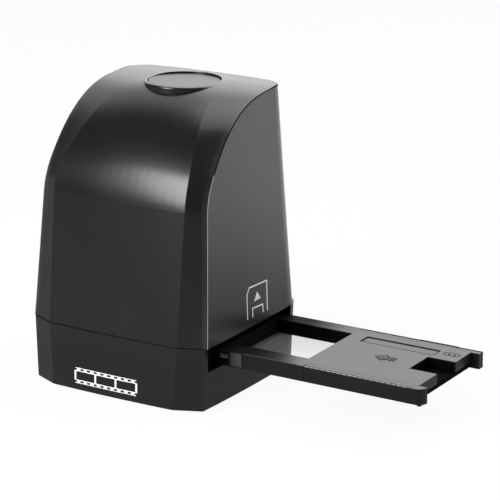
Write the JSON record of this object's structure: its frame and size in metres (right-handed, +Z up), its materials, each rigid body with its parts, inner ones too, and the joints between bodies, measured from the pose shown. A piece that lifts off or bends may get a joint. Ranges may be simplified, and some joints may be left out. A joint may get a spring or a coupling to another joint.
{
  "type": "film negative scanner",
  "caption": "Compact film and slide scanner: tapered tower on a low base, round scan key on top, and a hinged film holder that slides through slots in both sides.",
  "frame": {"origin": "middle of the base's footprint, on the plane the rubber feet stand on", "axes": "+Z up, +Y to the rear, +X to the side where the film holder stands out"},
  "size_m": [0.1958, 0.0914, 0.1351],
  "materials": {
    "housing_black": "satin",
    "housing_side": "satin",
    "base_black": "satin",
    "holder_black": "satin",
    "inner_black": "matt",
    "light_white": "matt",
    "feet_rubber": "matt",
    "screw_steel": "satin",
    "bracket_steel": "satin",
    "board_green": "gloss",
    "chip_black": "satin",
    "lamp_white": "gloss",
    "clear_pane": "gloss",
    "lens": "gloss",
    "socket_metal": "gloss",
    "key_black": "satin"
  },
  "bodies": {
    "housing": {"base_shell": "base_black", "bottom_plate": "base_black", "rubber_feet": "feet_rubber", "base_screws": "screw_steel", "front_wrap": "housing_black", "rear_housing": "housing_side", "lower_film_guide": "inner_black", "upper_film_guide": "inner_black", "guide_screws": "screw_steel", "backlight_box": "light_white", "diffuser_plate": "lamp_white", "backlight_board": "board_green", "backlight_lamps": "lamp_white", "light_tunnel": "inner_black", "lens_barrel": "inner_black", "lens_glass": "lens", "sensor_board": "board_green", "sensor_chip": "chip_black", "camera_bracket": "bracket_steel", "bracket_screws": "screw_steel", "main_board": "board_green", "board_screws": "screw_steel", "processor_chip": "chip_black", "usb_socket": "socket_metal", "button_spring": "screw_steel", "button_carrier": "inner_black", "button_board": "board_green", "carrier_screws": "screw_steel", "button_switch": "chip_black", "indicator_lens": "lamp_white"},
    "scan_key": {"scan_button": "key_black"},
    "film_holder": {"holder_frame": "holder_black", "holder_lid": "holder_black", "holder_panes": "clear_pane", "hinge_pins": "screw_steel"}
  },
  "joints": [
    {"name": "holder_slide", "type": "slide", "parent": "housing", "child": "film_holder", "axis": [1, 0, 0], "range_m": [-0.095, 0.03]},
    {"name": "scan_key_press", "type": "slide", "parent": "housing", "child": "scan_key", "axis": [0, -0.0419, -0.9991], "range_m": [0, 0.001], "stiffness_N_per_m": 300, "springref_m": -0.002, "deforming": ["button_spring"]}
  ]
}
